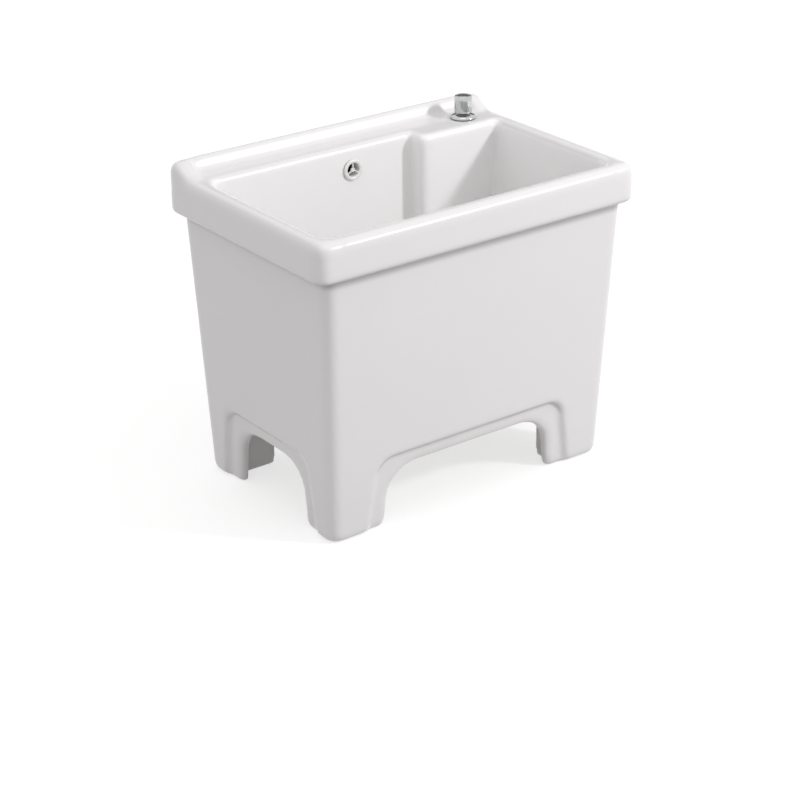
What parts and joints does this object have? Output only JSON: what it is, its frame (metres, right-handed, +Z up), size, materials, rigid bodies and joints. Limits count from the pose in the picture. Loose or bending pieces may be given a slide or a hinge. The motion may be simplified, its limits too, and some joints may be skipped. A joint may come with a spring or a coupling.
{
  "type": "ceramic mop sink",
  "caption": "Free-standing ceramic mop sink on four arched legs, with a raised back lip, overflow, and a pop-up waste worked by a pull knob on the rear deck.",
  "frame": {"origin": "middle of the footprint on the floor, below the centre of the rim's outline", "axes": "+X to the right along the front face, +Y to the back, +Z up"},
  "size_m": [0.46, 0.32, 0.4145],
  "materials": {
    "ceramic": "glossy white glaze",
    "chrome": "polished",
    "steel": "satin",
    "dark_steel": "black oxide",
    "brass": "machined",
    "white_plastic": "gloss",
    "grey_plastic": "satin",
    "rubber": "matt"
  },
  "bodies": {
    "sink": {"basin": "ceramic", "overflow_cover": "white_plastic", "overflow_seal": "rubber", "control_flange": "chrome", "flange_gasket": "rubber", "deck_washer": "rubber", "deck_locknut": "brass", "guide_bush": "white_plastic", "ball_seat": "white_plastic", "ball_nut": "grey_plastic", "drain_flange": "chrome", "drain_gasket": "rubber", "drain_lower_gasket": "rubber", "friction_washer": "white_plastic", "drain_locknut": "brass", "drain_tee": "grey_plastic", "tailpiece": "chrome", "tailpiece_seal": "rubber", "slip_nut": "grey_plastic"},
    "lift": {"knob": "chrome", "knob_grub_screw": "dark_steel", "lift_rod": "steel", "clevis_strap": "steel", "clevis_thumbscrew": "brass", "spring_clip": "steel"},
    "pivot": {"pivot_rod": "steel", "pivot_ball": "white_plastic"},
    "stopper": {"stopper_cap": "chrome", "stopper_seal": "rubber", "stopper_stem": "white_plastic"}
  },
  "joints": [
    {"name": "knob_lift", "type": "slide", "parent": "sink", "child": "lift", "axis": [0, 0, 1], "range_m": [0, 0.0339]},
    {"name": "pivot_rock", "type": "hinge", "parent": "sink", "child": "pivot", "pos_m": [0.07354, 0.02017, 0.047], "axis": [0.6508, -0.7593, 0], "range_deg": [0, 14.7]},
    {"name": "stopper_lift", "type": "slide", "parent": "sink", "child": "stopper", "axis": [0, 0, 1], "range_m": [-0.008, 0]}
  ],
  "couplings": [
    {"joint": "pivot_rock", "follows": "knob_lift", "rad_per_m": 7.557},
    {"joint": "stopper_lift", "follows": "knob_lift", "ratio": -0.2355}
  ]
}
